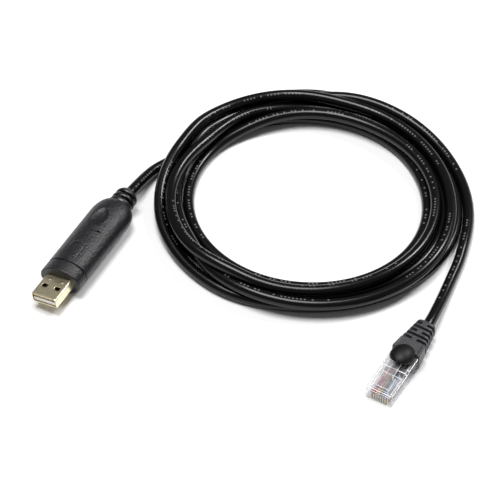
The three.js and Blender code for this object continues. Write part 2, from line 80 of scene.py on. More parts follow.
def layout_shift() -> Array:
    """Finds how the source moved its layout.

    Returns:
        Millimetres from the layout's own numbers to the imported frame's.
    """
    low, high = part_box("cable_coil")
    centre = (np.array(low) + np.array(high)) / (2 * MM)
    return np.array([centre[0] - COIL_PLACE[0], centre[1] - COIL_PLACE[1], 0.0])


SHIFT = layout_shift()


class Signal:
    """A number socket of a node tree that takes part in expressions."""

    def __init__(self, shader: "Shader", socket: bpy.types.NodeSocket) -> None:
        """Keeps the socket and the shader that it belongs to."""
        self.shader = shader
        self.socket = socket

    def maths(self, operation: str, *others: Union["Signal", Number]) -> "Signal":
        """Adds one Math node.

        Args:
            operation: the Math node's operation.
            others: the second and third inputs, signals or plain numbers.

        Returns:
            The node's output as a signal.
        """
        inputs = {0: self}
        inputs.update({index + 1: other for index, other in enumerate(others)})
        node = self.shader.node("ShaderNodeMath", {"operation": operation}, inputs)
        return Signal(self.shader, node.outputs[0])

    def __add__(self, other: Union["Signal", Number]) -> "Signal":
        """Sum."""
        return self.maths("ADD", other)

    __radd__ = __add__

    def __mul__(self, other: Union["Signal", Number]) -> "Signal":
        """Product."""
        return self.maths("MULTIPLY", other)

    __rmul__ = __mul__

    def __sub__(self, other: Union["Signal", Number]) -> "Signal":
        """Difference."""
        return self.maths("SUBTRACT", other)

    def __rsub__(self, other: Number) -> "Signal":
        """A number less this signal."""
        return self.maths("MULTIPLY_ADD", -1.0, other)

    def above(self, edge: Number) -> "Signal":
        """1 where the signal is above an edge, else 0."""
        return self.maths("GREATER_THAN", edge)

    def below(self, edge: Number) -> "Signal":
        """1 where the signal is below an edge, else 0."""
        return self.maths("LESS_THAN", edge)

    def ramp(self, low: Number, high: Number) -> "Signal":
        """A smooth step.

        Args:
            low: where it leaves 0.
            high: where it reaches 1.

        Returns:
            The step as a signal.
        """
        settings = {"interpolation_type": "SMOOTHSTEP"}
        inputs = {0: self, 1: low, 2: high, 3: 0.0, 4: 1.0}
        node = self.shader.node("ShaderNodeMapRange", settings, inputs)
        return Signal(self.shader, node.outputs[0])


class Shader:
    """A material whose nodes are added one call at a time."""

    def __init__(self, name: str) -> None:
        """Starts a material with its Principled shader.

        Args:
            name: the material's name.
        """
        self.material = bpy.data.materials.new(name)
        self.material.use_nodes = True
        self.tree = self.material.node_tree
        self.surface = self.tree.nodes["Principled BSDF"]

    def node(
        self, kind: str, settings: dict[str, Any], inputs: dict[Any, Any]
    ) -> bpy.types.Node:
        """Adds a node, sets its own settings first and then its sockets.

        Args:
            kind: the node's type.
            settings: attribute names and values.
            inputs: socket names or numbers, with signals, sockets or values.

        Returns:
            The new node.
        """
        made = self.tree.nodes.new(kind)
        for name, value in settings.items():
            setattr(made, name, value)
        for name, value in inputs.items():
            self.feed(made.inputs[name], value)
        return made

    def feed(self, socket: bpy.types.NodeSocket, value: Any) -> None:
        """Links a signal or socket to a socket, or sets its value.

        Args:
            socket: the input that is fed.
            value: a signal, an output socket or a plain value.
        """
        if isinstance(value, Signal):
            self.tree.links.new(value.socket, socket)
        elif isinstance(value, bpy.types.NodeSocket):
            self.tree.links.new(value, socket)
        else:
            socket.default_value = value

    def set(self, **values: Any) -> None:
        """Sets sockets of the Principled shader; _ stands for a space."""
        for name, value in values.items():
            self.feed(self.surface.inputs[name.replace("_", " ")], value)

    def point(self) -> bpy.types.NodeSocket:
        """The Object coordinates, in metres."""
        return self.node("ShaderNodeTexCoord", {}, {}).outputs["Object"]

    def noise(
        self, point: bpy.types.NodeSocket, size_mm: float, detail: float = 2.0
    ) -> Signal:
        """Noise whose lumps are about size_mm across.

        Args:
            point: where the noise is read, in metres.
            size_mm: the size of its lumps.
            detail: octaves.

        Returns:
            The noise, from 0 to 1.
        """
        inputs = {"Vector": point, "Scale": 1.0 / (size_mm * MM), "Detail": detail}
        return Signal(self, self.node("ShaderNodeTexNoise", {}, inputs).outputs[0])

    def blend(
        self, share: Union[Signal, float], low: Sequence[float], high: Sequence[float]
    ) -> bpy.types.NodeSocket:
        """A colour between two others.

        Args:
            share: 0 gives low and 1 gives high.
            low: a linear colour, or the socket of one.
            high: a linear colour.

        Returns:
            The colour's socket.
        """
        colours = [
            c if isinstance(c, bpy.types.NodeSocket) else (*c, 1.0) for c in (low, high)
        ]
        inputs = {0: share, 6: colours[0], 7: colours[1]}
        return self.node("ShaderNodeMix", {"data_type": "RGBA"}, inputs).outputs[2]

    def relief(self, height: Signal, depth_mm: float) -> None:
        """Bumps the surface.

        Args:
            height: a signal from 0 to 1.
            depth_mm: the depth that 1 stands for.
        """
        inputs = {"Strength": 1.0, "Distance": depth_mm * MM, "Height": height}
        bump = self.node("ShaderNodeBump", {}, inputs)
        self.set(Normal=bump.outputs["Normal"])


@dataclass(frozen=True)
class Moulding:
    """An opaque moulded plastic with a fine grain and a faint mottle."""

    name: str
    colour: tuple[float, float, float]
    roughness: float
    specular: float = 0.5
    grain_mm: float = 0.25
    grain_depth_mm: float = 0.02
    mottle: float = 0.15
    mottle_mm: float = 3.5

    def make(self) -> bpy.types.Material:
        """Builds the material.

        Returns:
            The finish, ready for a piece.
        """
        shader = Shader(self.name)
        point = shader.point()
        grain = shader.noise(point, self.grain_mm, 3.0)
        patches = shader.noise(point, self.mottle_mm, 3.0)
        dark = [c * (1 - self.mottle) for c in self.colour]
        light = [c * (1 + self.mottle) for c in self.colour]
        shader.set(
            Base_Color=shader.blend(patches.ramp(0.3, 0.7), dark, light),
            Roughness=grain * 0.12 + (self.roughness - 0.06),
            Specular_IOR_Level=self.specular,
        )
        shader.relief(grain, self.grain_depth_mm)
        return shader.material


@dataclass(frozen=True)
class Jacket:
    """Glossy black cable jacket with short pale ticks printed along it."""

    name: str = "jacket"
    colour: tuple[float, float, float] = (0.002, 0.002, 0.0024)
    print_colour: tuple[float, float, float] = (0.11, 0.11, 0.11)
    roughness: float = 0.23
    specular: float = 0.32
    lane: float = 0.84
    lane_half: float = 0.024
    wander: float = 0.07
    wander_pace: float = 4.3
    ticks_per_metre: float = 620.0
    tick_share: float = 0.5
    left_out: float = 0.42
    groups_per_metre: float = 13.0
    group_share: float = 0.62

    def make(self) -> bpy.types.Material:
        """Builds the material, which reads the piece's own UV map: turns
        round the cable across, metres along it upwards.

        Returns:
            The finish, ready for a piece.
        """
        shader = Shader(self.name)
        point = shader.point()
        places = shader.node("ShaderNodeUVMap", {"uv_map": "run"}, {}).outputs["UV"]
        split = shader.node("ShaderNodeSeparateXYZ", {}, {"Vector": places})
        around = Signal(shader, split.outputs["X"])
        along = Signal(shader, split.outputs["Y"])
        wander = (along * self.wander_pace).maths("SINE") * self.wander
        lane = (around + wander - self.lane).maths("ABSOLUTE").below(self.lane_half)
        cell = (along * self.ticks_per_metre).maths("FRACT")
        number = (along * self.ticks_per_metre).maths("FLOOR")
        chance = shader.node(
            "ShaderNodeTexWhiteNoise", {"noise_dimensions": "1D"}, {"W": number}
        )
        kept = Signal(shader, chance.outputs["Value"]).above(self.left_out)
        group = (along * self.groups_per_metre).maths("FRACT").below(self.group_share)
        ticks = lane * cell.below(self.tick_share) * kept * group
        fine = shader.noise(point, 0.9, 2.0)
        shader.set(
            Base_Color=shader.blend(ticks, self.colour, self.print_colour),
            Roughness=fine * 0.06 + (self.roughness - 0.03),
            Specular_IOR_Level=self.specular,
        )
        shader.relief(fine, 0.008)
        return shader.material


@dataclass(frozen=True)
class Plating:
    """Bright plate on pressed sheet metal, finely drawn along its length."""

    name: str
    colour: tuple[float, float, float]
    roughness: float = 0.24
    grain_mm: float = 0.18
    cloud_mm: float = 1.6

    def make(self) -> bpy.types.Material:
        """Builds the material.

        Returns:
            The finish, ready for a piece.
        """
        shader = Shader(self.name)
        point = shader.point()
        grain = shader.noise(point, self.grain_mm, 3.0)
        cloud = shader.noise(point, self.cloud_mm, 2.0)
        dull = [c * 0.86 for c in self.colour]
        shader.set(
            Base_Color=shader.blend(cloud.ramp(0.35, 0.7), self.colour, dull),
            Metallic=1.0,
            Roughness=grain * 0.2 + (self.roughness - 0.1),
        )
        shader.relief(grain, 0.006)
        return shader.material


@dataclass(frozen=True)
class ClearMoulding:
    """Clear polycarbonate with faint flow marks, or a painted white highlight for its
    edges.
    """

    name: str = "clear_polycarbonate"
    colour: tuple[float, float, float] = (0.42, 0.42, 0.46)
    alpha: float = 0.22
    roughness: float = 0.08
    flow_mm: float = 1.1

    def make(self) -> bpy.types.Material:
        """Builds the material.

        Returns:
            The finish, ready for a piece.
        """
        shader = Shader(self.name)
        flow = shader.noise(shader.point(), self.flow_mm, 3.0)
        dim = [c * 0.8 for c in self.colour]
        shader.set(
            Base_Color=shader.blend(flow.ramp(0.35, 0.65), dim, self.colour),
            Roughness=flow * 0.1 + self.roughness,
            Alpha=flow.ramp(0.3, 0.75) * self.alpha + self.alpha * 0.5,
            Specular_IOR_Level=1.0,
        )
        shader.relief(flow, 0.006)
        return shader.material


@dataclass(frozen=True)
class Floor:
    """Plain pale floor."""

    name: str = "pale_floor"

    def make(self) -> bpy.types.Material:
        """Builds the material.

        Returns:
            The finish, ready for a piece.
        """
        shader = Shader(self.name)
        cloud = shader.noise(shader.point(), 60.0, 2.0)
        shader.set(
            Base_Color=shader.blend(cloud, (0.9, 0.9, 0.9), (0.91, 0.91, 0.91)),
            Roughness=0.9,
            Specular_IOR_Level=0.1,
        )
        return shader.material


class WireColour(Enum):
    """Insulation colours, from the right contact to the left one."""

    WHITE = (0.82, 0.82, 0.84)
    LILAC_WHITE = (0.70, 0.70, 0.82)
    PALE_BLUE = (0.40, 0.52, 0.70)
    BLUE = (0.01, 0.07, 0.22)
    YELLOW = (0.70, 0.50, 0.02)
    PALE_ORANGE = (0.80, 0.42, 0.16)
    RED = (0.55, 0.04, 0.08)
    PALE_RED = (0.78, 0.34, 0.36)


@dataclass(frozen=True)
class Seat:
    """Where a connector lies: its own +x runs from its nose to the cable."""

    place: tuple[float, float, float]
    heading: float
    roll: float = 0.0

    def put(self, local: Array) -> Array:
        """Turns local millimetres into the frame's millimetres.

        Args:
            local: points in the connector's own axes, last axis of 3.

        Returns:
            The same points rolled about x, turned about z and moved.
        """
        spin = Euler((math.radians(self.roll), 0.0, 0.0)).to_matrix()
        turn = Euler((0.0, 0.0, math.radians(self.heading))).to_matrix()
        matrix = np.array(turn @ spin)
        return local @ matrix.T + np.array(self.place) + SHIFT


USB_SEAT = Seat((-77.6, -23.4, 6.755), 61.9, -7.5)
PLUG_SEAT = Seat((50.2, -80.85, 0.0), 58.7)


def smooth(value: Array, low: float, high: float) -> Array:
    """Smooth step: 0 below low, 1 above high, 3t^2 - 2t^3 between."""
    share = np.clip((value - low) / (high - low), 0.0, 1.0)
    return share * share * (3.0 - 2.0 * share)


def stations(*runs: tuple[float, float, float]) -> Array:
    """Positions along a piece, close together where its shape asks for it.

    Args:
        runs: the start, the end and the step of each run.

    Returns:
        All positions in order, without those that nearly coincide.
    """
    nearly = 0.02
    parts = [
        np.linspace(start, end, max(2, int(round((end - start) / step)) + 1))
        for start, end, step in runs
    ]
    merged = np.unique(np.round(np.concatenate(parts), 4))
    return merged[np.concatenate([[True], np.diff(merged) > nearly])]


@dataclass
class Sheet:
    """A grid surface: rows along the piece, columns round or across it."""

    points: Array
    ring: bool = True
    cap_start: bool = True
    cap_end: bool = True
    keep: Union[Array, None] = None
    run: Union[Array, None] = None
    crease: float = 35.0

    def faces(self) -> tuple[Array, Array]:
        """The four-sided faces of the grid.

        Returns:
            The indices of their corners, and the column of each face.
        """
        rows, columns = self.points.shape[:2]
        spans = columns if self.ring else columns - 1
        row, column = np.meshgrid(np.arange(rows - 1), np.arange(spans), indexing="ij")
        row, column = row.ravel(), column.ravel()
        if self.keep is not None:
            kept = self.keep[row, column]
            row, column = row[kept], column[kept]
        after = (column + 1) % columns
        quads = np.stack([
            row * columns + column,
            row * columns + after,
            (row + 1) * columns + after,
            (row + 1) * columns + column,
        ], axis=1)
        return quads, column

    def build(self, name: str) -> bpy.types.Object:
        """Makes the mesh, with fans over its ends, facing outwards.

        Args:
            name: the piece's name.

        Returns:
            An object at the origin with its place in its mesh.
        """
        rows, columns = self.points.shape[:2]
        quads, column = self.faces()
        vertices = self.points.reshape(-1, 3)
        fans = []
        steps = np.arange(columns)
        after = (steps + 1) % columns
        for wanted, first, flip in (
            (self.cap_start, 0, True), (self.cap_end, (rows - 1) * columns, False)
        ):
            if wanted:
                centre = len(vertices)
                middle = vertices[first:first + columns].mean(axis=0, keepdims=True)
                vertices = np.vstack([vertices, middle])
                pair = (after, steps) if flip else (steps, after)
                hub = np.full(columns, centre)
                fans.append(np.stack([first + pair[0], first + pair[1], hub], axis=1))
        triangles = np.vstack(fans) if fans else np.zeros((0, 3), int)
        if self.volume(vertices, quads, triangles) < 0:
            quads = quads[:, ::-1]
            triangles = triangles[:, ::-1]
        mesh = bpy.data.meshes.new(name)
        loops = np.concatenate([quads.ravel(), triangles.ravel()])
        totals = np.concatenate([np.full(len(quads), 4), np.full(len(triangles), 3)])
        mesh.vertices.add(len(vertices))
        mesh.vertices.foreach_set("co", (vertices * MM).astype(np.float32).ravel())
        mesh.loops.add(len(loops))
        mesh.loops.foreach_set("vertex_index", loops.astype(np.int32))
        mesh.polygons.add(len(totals))
        starts = np.concatenate([[0], np.cumsum(totals)[:-1]])
        mesh.polygons.foreach_set("loop_start", starts.astype(np.int32))
        mesh.update(calc_edges=True)
        if self.run is not None:
            self.lay_run(mesh, quads, column, len(loops))
        mesh.validate()
        mesh.shade_smooth()
        mesh.set_sharp_from_angle(angle=math.radians(self.crease))
        made = bpy.data.objects.new(name, mesh)
        bpy.context.scene.collection.objects.link(made)
        return made

    def lay_run(
        self, mesh: bpy.types.Mesh, quads: Array, column: Array, count: int
    ) -> None:
        """Writes a UV map named run: turns across, metres along.

        Args:
            mesh: the mesh, with its faces in place.
            quads: the indices of each quad's corners.
            column: the grid column of each quad.
            count: how many face corners the mesh has.
        """
        layer = mesh.uv_layers.new(name="run")
        columns = self.points.shape[1]
        at_row = quads // columns
        at_column = quads % columns
        closing = (column[:, None] == columns - 1) & (at_column == 0)
        across = np.where(closing, 1.0, at_column / columns)
        flat = np.zeros((count, 2), np.float32)
        flat[: quads.size, 0] = across.ravel()
        flat[: quads.size, 1] = self.run[at_row].ravel()
        layer.data.foreach_set("uv", flat.ravel())

    @staticmethod
    def volume(vertices: Array, quads: Array, triangles: Array) -> float:
        """Sums the tetrahedra a . (b x c) between the faces and the middle.

        Args:
            vertices: the points.
            quads: the corners of the four-sided faces.
            triangles: the corners of the three-sided ones.

        Returns:
            Six times the volume, above 0 where the faces point outwards.
        """
        from_middle = vertices - vertices.mean(axis=0)
        split = np.vstack([quads[:, [0, 1, 2]], quads[:, [0, 2, 3]], triangles])
        a, b, c = (from_middle[split[:, k]] for k in range(3))
        return float(np.einsum("ij,ij->i", a, np.cross(b, c)).sum())


def dress(
    piece: bpy.types.Object, material: bpy.types.Material,
    replaced: Sequence[str] = (),
) -> bpy.types.Object:
    """Gives a piece its finish, its body and the nodes it stands for.

    Args:
        piece: the piece.
        material: its finish.
        replaced: CAD nodes that it replaces.

    Returns:
        The piece.
    """
    piece.data.materials.clear()
    piece.data.materials.append(material)
    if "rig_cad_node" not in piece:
        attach(piece, ROOT)
    if replaced:
        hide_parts(*replaced)
    LOG.info("piece %s: %d faces", piece.name, len(piece.data.polygons))
    return piece


def bevel(piece: bpy.types.Object, width_mm: float, segments: int = 2) -> None:
    """Rounds a piece's sharp edges with a Bevel modifier.

    Args:
        piece: the piece.
        width_mm: how far the rounding reaches from the edge.
        segments: its steps.
    """
    made = piece.modifiers.new("edges", "BEVEL")
    made.width = width_mm * MM
    made.segments = segments
    made.limit_method = "ANGLE"
    made.angle_limit = math.radians(32)
    made.harden_normals = False


def thicken(piece: bpy.types.Object, wall_mm: float) -> None:
    """Gives a surface a wall with a Solidify modifier.

    Args:
        piece: the piece, its faces pointing outwards.
        wall_mm: the wall's thickness, inwards.
    """
    made = piece.modifiers.new("wall", "SOLIDIFY")
    made.thickness = wall_mm * MM
    made.offset = -1.0


def carried(centre: Array) -> tuple[Array, Array, Array]:
    """Directions along a line and two across it, carried without twist.

    Args:
        centre: the line's points.

    Returns:
        Unit tangents, and two unit vectors across them.
    """
    along = np.gradient(centre, axis=0)
    along /= np.linalg.norm(along, axis=1, keepdims=True)
    side = np.zeros_like(centre)
    first = np.cross(along[0], (0.0, 0.0, 1.0))
    side[0] = first / np.linalg.norm(first)
    for i in range(1, len(centre)):
        carried_on = side[i - 1] - along[i] * (side[i - 1] @ along[i])
        side[i] = carried_on / np.linalg.norm(carried_on)
    return along, side, np.cross(along, side)


def curve_through(points: Array, step: float) -> Array:
    """A Catmull-Rom curve through points, sampled at an even step.

    Each span is a cubic of its two points and half the difference of their
    neighbours; the fine line is then resampled by its own length.

    Args:
        points: the points, in order.
        step: the distance between the samples.

    Returns:
        The samples, from the first point to the last.
    """
    ends = np.vstack([2 * points[0] - points[1], points, 2 * points[-1] - points[-2]])
    per_span = 12
    share = (np.arange(per_span) / per_span)[:, None]
    p0, p1, p2, p3 = (ends[k:len(ends) - 3 + k, None, :] for k in range(4))
    spans = 0.5 * (
        2 * p1 + (p2 - p0) * share
        + (2 * p0 - 5 * p1 + 4 * p2 - p3) * share ** 2
        + (3 * p1 - p0 - 3 * p2 + p3) * share ** 3
    )
    line = np.vstack([spans.reshape(-1, 3), points[-1:]])
    pieces = np.linalg.norm(np.diff(line, axis=0), axis=1)
    length = np.concatenate([[0], np.cumsum(pieces)])
    count = int(round(length[-1] / step)) + 1
    wanted = np.linspace(0, length[-1], count)
    return np.stack([np.interp(wanted, length, line[:, k]) for k in range(3)], axis=1)


def tube(centre: Array, radius: Union[float, Array], sides: int) -> Array:
    """Circles round a line: centre + r (cos a side + sin a up).

    Args:
        centre: the line's points.
        radius: one radius, or one for each point.
        sides: how many points each circle has.

    Returns:
        A grid with a row for each point of the line.
    """
    _, side, up = carried(centre)
    angle = np.linspace(0, 2 * math.pi, sides, endpoint=False)
    reach = np.broadcast_to(np.asarray(radius, float), (len(centre),))[:, None, None]
    ring = (
        np.cos(angle)[None, :, None] * side[:, None, :]
        + np.sin(angle)[None, :, None] * up[:, None, :]
    )
    return centre[:, None, :] + reach * ring


@dataclass
class Studio:
    """Camera, lights, world and floor."""

    distance_mm: float = 900.0
    elevation: float = 47.5
    lens_mm: float = 155.2
    sensor_mm: float = 36.0
    key_watts: float = 23.0
    key_place: tuple[float, float, float] = (-0.20, 0.05, 1.48)
    key_size: float = 0.72
    side_watts: float = 16.0
    side_place: tuple[float, float, float] = (1.00, 0.64, 1.26)
    side_size: float = 0.42
    world_strength: float = 0.16
    floor_half: float = 3000.0
    floor_drop: float = 0.02

    def build(self) -> None:
        """Makes them all."""
        self.camera()
        self.floor()
        aim = SHIFT * MM
        self.lamp("key", self.key_place, self.key_size, self.key_watts, aim)
        self.lamp("side", self.side_place, self.side_size, self.side_watts, aim)
        world = bpy.data.worlds.new("studio")
        world.use_nodes = True
        backdrop = world.node_tree.nodes["Background"]
        backdrop.inputs["Color"].default_value = (1.0, 1.0, 1.0, 1.0)
        backdrop.inputs["Strength"].default_value = self.world_strength
        bpy.context.scene.world = world
        bpy.context.scene.view_settings.view_transform = "Standard"

    def camera(self) -> None:
        """Looks along +Y and down at the photograph's angle."""
        data = bpy.data.cameras.new("camera")
        data.lens = self.lens_mm
        data.sensor_width = self.sensor_mm
        data.clip_start, data.clip_end = 0.05, 20.0
        lean = math.radians(self.elevation)
        camera = bpy.data.objects.new("camera", data)
        reach = self.distance_mm * MM
        camera.location = Vector(SHIFT * MM) + Vector(
            (0.0, -reach * math.cos(lean), reach * math.sin(lean))
        )
        camera.rotation_euler = (math.pi / 2 - lean, 0.0, 0.0)
        bpy.context.scene.collection.objects.link(camera)
        bpy.context.scene.camera = camera

    def floor(self) -> None:
        """A wide plain floor, a hair under z = 0 so that it hides nothing."""
        side = np.linspace(-self.floor_half, self.floor_half, 7)
        across, away = np.meshgrid(side, side, indexing="ij")
        level = np.full_like(across, -self.floor_drop)
        points = np.stack([across, away, level], axis=2)
        floor = Sheet(points, ring=False, cap_start=False, cap_end=False).build("floor")
        floor.data.materials.append(Floor().make())

    def lamp(
        self, name: str, place: tuple[float, float, float], size: float,
        watts: float, aim: Array,
    ) -> None:
        """A square soft light that faces the object.

        Args:
            name: its name.
            place: where it hangs, in metres from the object's middle.
            size: its side in metres.
            watts: its power.
            aim: the point it faces, in metres.
        """
        data = bpy.data.lights.new(name, "AREA")
        data.shape = "SQUARE"
        data.size = size
        data.energy = watts
        lamp = bpy.data.objects.new(name, data)
        lamp.location = Vector(aim) + Vector(place)
        lamp.rotation_euler = Vector(place).to_track_quat("Z", "Y").to_euler()
        bpy.context.scene.collection.objects.link(lamp)


# How far each pass of the cable lies from the coil's middle, in millimetres,
# at every 30 degrees clockwise from the left, and how high it rides there:
# 0 on the floor, 1 on the strands below it. Chosen one by one.
COIL_REACH = (
    (None, 58.5, 48.8, 46.0, 45.5, 46.3, 47.2, 49.2, 49.9, 50.0, 51.5, 52.8),
    (53.6, 52.4, 51.9, 50.9, 48.0, 48.1, 49.6, 51.4, 51.9, 51.0, 53.7, 57.5),
    (62.0, 57.5, 57.0, 55.5, 54.0, 53.0, 53.0, 55.5, 56.7, 56.0, 56.0, 60.3),
    (64.3, 60.5, 62.0, 60.0, 55.4, 54.0, 59.3, 61.8, 59.8, 58.6, 63.0, 65.2),
    (65.3, 63.4, 65.7, 62.9, 57.1, 54.4, 55.8, 58.9, 59.2, 58.3, 59.5, 59.0),
    (58.3, 57.6, 58.0, 60.0, 59.4, 59.6, 62.2, 67.7, None, None, None, None),
)
COIL_LEVEL = (
    (0, 0, 0, 0, 0, 0, 0, 0, 0, 0, 0, 0),
    (0, 0, 1, 0, 1, 1, 1, 1, 1, 1, 1, 1.4),
    (1, 2, 1, 0, 0, 0, 0, 0, 0, 0, 0, 0),
    (0.5, 1, 0.3, 0, 1, 1, 0, 0, 0, 0, 0, 0),
    (1, 1, 1.3, 1, 2, 2, 1, 1, 1, 1, 1, 0),
    (0, 1, 0, 1, 0.6, 0, 1, 0, 0, 0, 0, 0),
)
COIL_HIDDEN = (
    (), (), (4, 5, 6), (2, 3, 5), (11,), (2, 3),
)
# Places between the bearings: turn in degrees from the left, reach and level.
COIL_EXTRA = (
    (13.0, 68.0, 0.0), (22.0, 62.6, 0.0), (40.0, 53.5, 0.0), (50.0, 50.2, 0.0),
    (2000.0, 65.0, 0.2),
)

USB_LEAD_POINTS = (
    (-51.06, 26.3, 6.75), (-50.0, 28.3, 6.5), (-48.3, 31.6, 5.8), (-46.6, 35.0, 5.0),
    (-44.8, 38.5, 4.1), (-42.5, 42.2, 3.3), (-39.9, 45.7, 2.6),
)
PLUG_LEAD_POINTS = (
    (86.4, -9.0, 2.41), (84.0, -15.1, 2.41), (81.5, -21.5, 2.5), (78.9, -28.2, 2.9),
    (76.2, -35.0, 3.8), (73.7, -41.3, 4.9), (71.95, -45.1, 5.4), (69.94, -48.38, 5.5),
    (66.82, -53.51, 5.1), (63.71, -58.63, 4.3), (60.59, -63.76, 3.62),
    (57.73, -68.46, 3.5),
)


@dataclass
class Cable:
    """The one cable: two leads and the coil between them."""

    diameter: float = 4.8
    sides: int = 22
    ring_step: float = 1.6
    turn_step: float = 4.0
    middle: tuple[float, float] = (27.5, 28.0)
    reach_scale: float = 1.019
    lean: float = 0.916
    layer: float = 3.95
    rounds: int = 2200
    spare: float = 0.14
    ceiling: float = 11.2
    start_turn: float = 16.0
    end_turn: float = 2008.0
    laps_apart: int = 5
    pull: float = 0.04
    late_pull: float = 0.01
    late_from: float = 0.85
    fall: float = 0.02
    evening: float = 0.22
    contact_passes: int = 4
    contact_share: float = 0.25
    smoothing_passes: int = 3

    def aims(self) -> tuple[Array, Array, Array, Array]:
        """The chosen places of the coil, in order along the cable.

        Returns:
            The turn, the reach, the level and the weight of each.
        """
        rows = [
            (360.0 * lap + 30.0 * k, reach, COIL_LEVEL[lap][k],
             0.2 if k in COIL_HIDDEN[lap] else 1.0)
            for lap, reaches in enumerate(COIL_REACH)
            for k, reach in enumerate(reaches)
            if reach is not None
        ]
        rows += [(turn, reach, level, 1.0) for turn, reach, level in COIL_EXTRA]
        table = np.array(sorted(rows), float)
        return table[:, 0], table[:, 1] * self.reach_scale, table[:, 2], table[:, 3]

    @staticmethod
    def cubic(turn: Array, knots: Array, values: Array) -> Array:
        """A cubic through the knots with slopes from their neighbours.

        Args:
            turn: where the curve is wanted.
            knots: the turns at which it is known, rising.
            values: what it is there.

        Returns:
            Its value at each turn.
        """
        span = np.clip(np.searchsorted(knots, turn) - 1, 0, len(knots) - 2)
        width = knots[span + 1] - knots[span]
        t = (turn - knots[span]) / width
        slope = np.gradient(values, knots)
        return (
            (2 * t ** 3 - 3 * t ** 2 + 1) * values[span]
            + (t ** 3 - 2 * t ** 2 + t) * width * slope[span]
            + (3 * t ** 2 - 2 * t ** 3) * values[span + 1]
            + (t ** 3 - t ** 2) * width * slope[span + 1]
        )

    def coil(self) -> Array:
        """Settles the coil: the strands stay a diameter apart and above the
        floor, and otherwise as near as they can to where they are seen.

        Returns:
            The coil's centre line, a point every turn_step degrees.
        """
        radius = self.diameter / 2
        knots, reach, level, weight = self.aims()
        turn = np.arange(self.start_turn, self.end_turn + 0.1, self.turn_step)
        seen = self.cubic(turn, knots, reach)
        bearing = np.radians(180.0 - turn)
        tilt = self.lean * np.sin(bearing)
        height = radius + self.layer * np.interp(turn, knots, level)
        trust = np.interp(turn, knots, weight)
        out = seen - tilt * (height - radius)
        per_lap = int(360 / self.turn_step)
        count = len(turn)
        gaps = [per_lap * lap for lap in range(1, self.laps_apart + 1)]
        low = np.concatenate([np.arange(count - gap) for gap in gaps])
        high = low + np.concatenate([np.full(count - gap, gap) for gap in gaps])
        held_out, held_height = out.copy(), height.copy()
        ends = np.r_[0, 1, count - 2, count - 1]
        apart = self.diameter + self.spare
        for step in range(self.rounds):
            late = step >= self.late_from * self.rounds
            pull = self.late_pull if late else self.pull
            out += pull * trust * (seen - out - tilt * (height - radius))
            height -= self.fall
            for values in (out, height):
                stiff = (
                    -values[:-4] + 4 * values[1:-3] + 10 * values[2:-2]
                    + 4 * values[3:-1] - values[4:]
                ) / 16
                values[2:-2] = stiff
                bow = values[:-2] + values[2:] - 2 * values[1:-1]
                values[1:-1] += self.evening * bow
            for _ in range(self.contact_passes):
                across = out[high] - out[low]
                above = height[high] - height[low]
                distance = np.maximum(np.hypot(across, above), 1e-6)
                push = self.contact_share * np.clip(apart - distance, 0, None) / distance
                np.add.at(out, low, -push * across)
                np.add.at(out, high, push * across)
                np.add.at(height, low, -push * above)
                np.add.at(height, high, push * above)
                np.clip(height, radius, self.ceiling, out=height)
            out[ends], height[ends] = held_out[ends], held_height[ends]
        return np.stack([
            self.middle[0] + out * np.cos(bearing),
            self.middle[1] + out * np.sin(bearing),
            height,
        ], axis=1)

    def route(self) -> Array:
        """Joins the leads and the coil.

        Returns:
            The whole centre line, from the USB relief to the jacket's end.
        """
        marks = np.vstack([
            np.array(USB_LEAD_POINTS), self.coil()[1:-1], np.array(PLUG_LEAD_POINTS)
        ])
        line = curve_through(marks, self.ring_step)
        kernel = np.array([1.0, 4.0, 6.0, 4.0, 1.0]) / 16
        for _ in range(self.smoothing_passes):
            padded = np.pad(line, ((2, 2), (0, 0)), mode="reflect", reflect_type="odd")
            line = sum(kernel[k] * padded[k:k + len(line)] for k in range(5))
        line[:, 2] = np.maximum(line[:, 2], self.diameter / 2)
        return line + SHIFT

    def build(self) -> bpy.types.Object:
        """Returns:
            The cable.
        """
        line = self.route()
        points = tube(line, self.diameter / 2, self.sides)
        lengths = np.linalg.norm(np.diff(line, axis=0), axis=1)
        run = np.concatenate([[0], np.cumsum(lengths)]) * MM
        piece = Sheet(points, run=run).build("cable")
        dress(
            piece, Jacket().make(),
            ["cable_lead_usb", "cable_coil", "cable_lead_rj45"],
        )
        LOG.info("cable length %.3f m", run[-1])
        tuple(line[0] * MM)
        (line * MM).tolist()
        return piece


@dataclass(frozen=True)
class Insulator:
    """The pale insulator, which looks brown in the shade behind its nose."""

    seat: Seat
    reach: float
    pale: tuple[float, float, float] = (0.97, 0.92, 0.88)
    shaded: tuple[float, float, float] = (0.05, 0.018, 0.012)
    shade_from: float = 2.2
    shade_to: float = 4.2

    def make(self) -> bpy.types.Material:
        """Builds the material, shaded by the distance behind the mouth.

        Returns:
            The finish, ready for a piece.
        """
        shader = Shader("insulator")
        nose, back = self.seat.put(np.array([[-self.reach, 0, 0], [0, 0, 0]])) * MM
        way = (back - nose) / np.linalg.norm(back - nose)
        point = shader.point()
        dot = shader.node(
            "ShaderNodeVectorMath", {"operation": "DOT_PRODUCT"},
            {0: point, 1: tuple(way)},
        )
        behind = Signal(shader, dot.outputs["Value"]) - float(nose @ way)
        shade = behind.ramp(self.shade_from * MM, self.shade_to * MM)
        shader.set(
            Base_Color=shader.blend(shade, self.pale, self.shaded),
            Roughness=shader.noise(point, 0.5) * 0.1 + 0.4,
        )
        return shader.material


